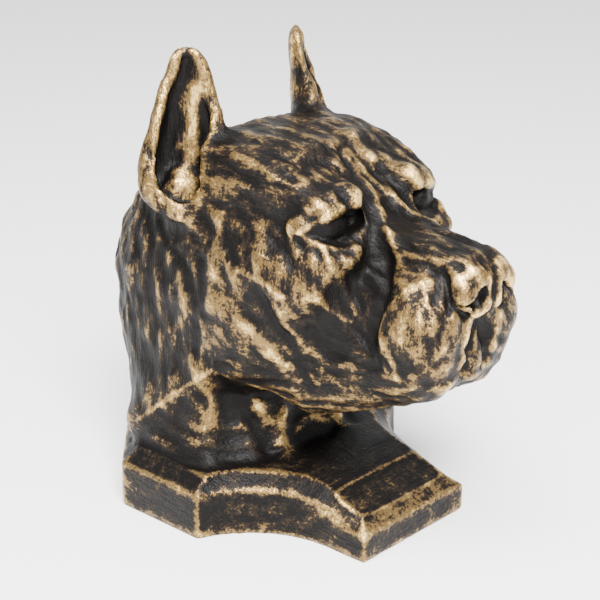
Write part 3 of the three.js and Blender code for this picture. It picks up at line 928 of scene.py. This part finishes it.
def ramp(tree, value, start, end, result=(0.0, 1.0), kind="SMOOTHSTEP"):
    """Carries a value from the range between start and end to the resulting one."""
    node = tree.nodes.new("ShaderNodeMapRange")
    node.interpolation_type = kind
    names = ("Value", "From Min", "From Max", "To Min", "To Max")
    for name, given in zip(names, (value, start, end, *result)):
        feed(tree, node.inputs[name], given)
    return node.outputs["Result"]


def ridge(tree, value):
    """Turns the middle of a noise into thin lines of more gold, from 0 to 1."""
    away = calculate(tree, "ABSOLUTE", calculate(tree, "SUBTRACT", value, 0.5))
    return ramp(tree, away, 0.0, 0.09, (1.0, 0.0))


def texture(tree, place, scale, detail, distortion=0.0, roughness=0.55):
    """Noise at the given place, from 0 to 1."""
    node = tree.nodes.new("ShaderNodeTexNoise")
    values = {"Scale": scale, "Detail": detail, "Distortion": distortion, "Roughness": roughness}
    for name, value in values.items():
        node.inputs[name].default_value = value
    tree.links.new(place, node.inputs["Vector"])
    return node.outputs["Fac"]


def strokes(tree, place, lay, fine, long):
    """Noise drawn out along the lay of the coat, blended from three directions."""
    shares = tree.nodes.new("ShaderNodeSeparateXYZ")
    tree.links.new(lay, shares.inputs[0])
    total = 0.0
    for axis in range(3):
        squeeze = tree.nodes.new("ShaderNodeVectorMath")
        squeeze.operation = "MULTIPLY"
        tree.links.new(place, squeeze.inputs[0])
        squeeze.inputs[1].default_value = [long if way == axis else fine for way in range(3)]
        drawn = texture(tree, squeeze.outputs[0], 1.0, 3, distortion=0.6, roughness=0.6)
        total = calculate(tree, "MULTIPLY_ADD", drawn, shares.outputs[axis], total)
    return total


def dry_brush_group():
    """Mask of the gold: it catches on what is raised and keeps out of what is hollow and of where shade
    falls, which paints shade; its Bright mask paints highlights on the ridges.
    """
    group = bpy.data.node_groups.new("Dry Brush", "ShaderNodeTree")
    for name in ("Raised", "Gilding_And_Shade", "Hollow_And_Shade", "Streaks", "Cover"):
        group.interface.new_socket(name, in_out="INPUT", socket_type="NodeSocketFloat")
    group.interface.new_socket("Lay", in_out="INPUT", socket_type="NodeSocketVector")
    for name in ("Gold", "Bright", "Haze", "Height"):
        group.interface.new_socket(name, in_out="OUTPUT", socket_type="NodeSocketFloat")
    given = group.nodes.new("NodeGroupInput").outputs
    result = group.nodes.new("NodeGroupOutput").inputs
    place = group.nodes.new("ShaderNodeTexCoord").outputs["Object"]
    patches = texture(group, place, scale=70, detail=3, distortion=1.2)
    threads = texture(group, place, scale=320, detail=4, distortion=1.5, roughness=0.62)
    veins = ridge(group, texture(group, place, scale=170, detail=3, distortion=2.2, roughness=0.6))
    grain = texture(group, place, scale=1500, detail=3)
    bristles = strokes(group, place, given["Lay"], *BRISTLES)
    hairs = strokes(group, place, given["Lay"], *HAIRS)
    gold = weighted_sum(
        group,
        (given["Raised"], 1.0, 0),
        (given["Gilding_And_Shade"], 0.75, 0),
        # Gold kept out of hollows and, as painted shade, out of where shade falls
        (given["Hollow_And_Shade"], -1.1, -0.25),
        (given["Streaks"], 0.1, 0),
        (given["Cover"], 1.0, 0),
        (patches, 2.1, -0.5),
        (threads, 2.3, -0.5),
        (bristles, 1.9, -0.5),
        (hairs, 2.2, -0.5),
        (veins, 0.36, 0),
    )
    # Paler gold where the gold is thickest: partly rubbing, partly a painted highlight
    bright = weighted_sum(group, (gold, 1.0, 0), (threads, 1.2, -0.5))
    haze = weighted_sum(group, (gold, 1.0, 0), (grain, 1.0, -0.5))
    height = weighted_sum(group, (bristles, 0.6, 0), (hairs, 0.5, 0), (grain, 0.15, 0))
    group.links.new(ramp(group, gold, 0.0, 0.5), result["Gold"])
    group.links.new(ramp(group, bright, 0.7, 1.9), result["Bright"])
    group.links.new(ramp(group, haze, -0.8, 0.15), result["Haze"])
    group.links.new(height, result["Height"])
    return group


def blended(tree, mask, low, high):
    """Colour that runs from one to another as the mask goes from 0 to 1."""
    node = tree.nodes.new("ShaderNodeMix")
    node.data_type = "RGBA"
    tree.links.new(mask, node.inputs["Factor"])
    ends = [socket for socket in node.inputs if socket.type == "RGBA"]
    for socket, colour in zip(ends, (low, high)):
        feed(tree, socket, colour)
    return next(socket for socket in node.outputs if socket.type == "RGBA")


def patina_material(colours):
    """Black-brown ground with old gold brushed over it, satin all over, with highlights painted on the
    ridges and shade painted in hollows.
    """
    material = bpy.data.materials.new("Dry-brushed Patina")
    material.use_nodes = True
    tree = material.node_tree
    shader = tree.nodes["Principled BSDF"].inputs
    brush = tree.nodes.new("ShaderNodeGroup")
    brush.node_tree = dry_brush_group()
    brush.inputs["Cover"].default_value = colours.cover
    for name, kind in (("Raised", "Fac"), ("Gilding_And_Shade", "Fac"), ("Hollow_And_Shade", "Fac"), ("Streaks", "Fac"),
                       ("Lay", "Vector")):
        mark = tree.nodes.new("ShaderNodeAttribute")
        mark.attribute_name = name.lower()
        tree.links.new(mark.outputs[kind], brush.inputs[name])
    masks = brush.outputs
    dark = blended(tree, masks["Haze"], colours.ground, colours.haze)
    # Gold runs to paler gold on the ridges, partly a painted highlight
    light = blended(tree, masks["Bright"], colours.gold, colours.bright)
    tree.links.new(blended(tree, masks["Gold"], dark, light), shader["Base Color"])
    for name, ends in (("Metallic", METALLIC), ("Roughness", ROUGHNESS)):
        tree.links.new(ramp(tree, masks["Gold"], 0.0, 1.0, ends, "LINEAR"), shader[name])
    shader["IOR"].default_value = COAT_IOR
    bump = tree.nodes.new("ShaderNodeBump")
    bump.inputs["Strength"].default_value = BUMP_STRENGTH
    bump.inputs["Distance"].default_value = BUMP_DEPTH
    tree.links.new(masks["Height"], bump.inputs["Height"])
    tree.links.new(bump.outputs["Normal"], shader["Normal"])
    return material


class DOGBUST_OT_patina(bpy.types.Operator):
    """Brush the gold patina over the casting"""

    bl_idname = "dogbust.patina"
    bl_label = "Brush Patina"

    def execute(self, context):
        bust = bpy.data.objects.get(BUST + "_carved")
        if bust is None:
            raise RuntimeError("Cast the bust before brushing its patina")
        bust.data.materials.clear()
        bust.data.materials.append(patina_material(context.scene.dogbust_patina))
        return {"FINISHED"}


# Stage

CAMERA_PLACE = (-432.76, -405.85, 299.58)
CAMERA_LENS = 95.95
CAMERA_SENSOR = 36
CAMERA_SEES = (0.01, 20)
CAMERA_YAW = 47.29
CAMERA_PITCH = 20.283
FLOOR_REACH = 3.0
FLOOR_ROUGHNESS = 0.9
LIT_POINT = (0, -0.01, 0.09)
KEY_PLACE = (-0.5, -0.7, 0.95)
KEY_SIZE = 0.45
FILL_PLACE = (-0.4, -0.1, 1.1)
FILL_SIZE = 0.6
FILL_SHARE = 0.35
STUDIO_WHITE = (1, 1, 1, 1)
STUDIO_STRENGTH = 1.35


def pale_floor(colour):
    """Wide square floor in plain matt paint."""
    paint = bpy.data.materials.new("Pale Floor")
    paint.use_nodes = True
    shader = paint.node_tree.nodes["Principled BSDF"]
    shader.inputs["Base Color"].default_value = colour
    shader.inputs["Roughness"].default_value = FLOOR_ROUGHNESS
    corners = [(x * FLOOR_REACH, y * FLOOR_REACH, 0) for x, y in ((-1, -1), (1, -1), (1, 1), (-1, 1))]
    mesh = bpy.data.meshes.new("pale_floor")
    mesh.from_pydata(corners, [], [(0, 1, 2, 3)])
    mesh.materials.append(paint)
    return bpy.data.objects.new("pale_floor", mesh)


def soft_light(name, place, size, power):
    """Large square light that points at the bust."""
    light = bpy.data.lights.new(name, "AREA")
    light.size = size
    light.energy = power
    lamp = bpy.data.objects.new(name, light)
    lamp.location = place
    lamp.rotation_mode = "QUATERNION"
    lamp.rotation_quaternion = (Vector(LIT_POINT) - Vector(place)).to_track_quat("-Z", "Y")
    return lamp


def studio_world():
    """Even white light from all round."""
    world = bpy.data.worlds.new("Soft Studio")
    world.use_nodes = True
    background = world.node_tree.nodes["Background"]
    background.inputs["Color"].default_value = STUDIO_WHITE
    background.inputs["Strength"].default_value = STUDIO_STRENGTH
    return world


def photo_camera():
    """Camera at the photograph's place and angle."""
    camera = bpy.data.cameras.new("photo_camera")
    camera.lens = CAMERA_LENS
    camera.sensor_width = CAMERA_SENSOR
    camera.clip_start, camera.clip_end = CAMERA_SEES
    eye = bpy.data.objects.new("photo_camera", camera)
    eye.location = [value * UNIT for value in CAMERA_PLACE]
    eye.rotation_euler = (math.radians(90 - CAMERA_PITCH), 0, math.radians(-CAMERA_YAW))
    return eye


class DOGBUST_OT_stage(bpy.types.Operator):
    """Lay the pale floor and set the soft lights and the camera"""

    bl_idname = "dogbust.stage"
    bl_label = "Set Stage"

    def execute(self, context):
        values = context.scene.dogbust_stage
        floor = pale_floor(values.floor)
        camera = photo_camera()
        key = soft_light("key_light", KEY_PLACE, KEY_SIZE, values.key)
        fill = soft_light("fill_light", FILL_PLACE, FILL_SIZE, values.key * FILL_SHARE)
        for thing in (floor, key, fill, camera):
            context.scene.collection.objects.link(thing)
        context.scene.world = studio_world()
        context.scene.camera = camera
        return {"FINISHED"}


# Add-on

class DOGBUST_PT_panel(bpy.types.Panel):
    """Lists the steps of the bust"""

    bl_label = "Dog Bust"
    bl_idname = "DOGBUST_PT_panel"
    bl_space_type = "VIEW_3D"
    bl_region_type = "UI"
    bl_category = "Dog Bust"

    def draw(self, context):
        layout = self.layout
        for group in GROUPS:
            for name in getattr(context.scene, group).bl_rna.properties.keys():
                if name not in ("rna_type", "name"):
                    layout.prop(getattr(context.scene, group), name)
        for operator in STEPS:
            layout.operator(operator.bl_idname)


GROUPS = {
    "dogbust_casting": CastingProperties,
    "dogbust_patina": PatinaProperties,
    "dogbust_stage": StageProperties,
}
STEPS = (DOGBUST_OT_cast, DOGBUST_OT_patina, DOGBUST_OT_stage)


def register():
    """Adds the classes and gives each scene its property groups."""
    for cls in (*GROUPS.values(), *STEPS, DOGBUST_PT_panel):
        bpy.utils.register_class(cls)
    for name, cls in GROUPS.items():
        setattr(bpy.types.Scene, name, bpy.props.PointerProperty(type=cls))


def unregister():
    """Takes back what register adds."""
    for name in GROUPS:
        delattr(bpy.types.Scene, name)
    for cls in reversed((*GROUPS.values(), *STEPS, DOGBUST_PT_panel)):
        bpy.utils.unregister_class(cls)


def main():
    """Makes the bust, its finish and its stage."""
    register()
    bpy.ops.dogbust.cast()
    bpy.ops.dogbust.patina()
    bpy.ops.dogbust.stage()


if __name__ == "__main__":
    main()
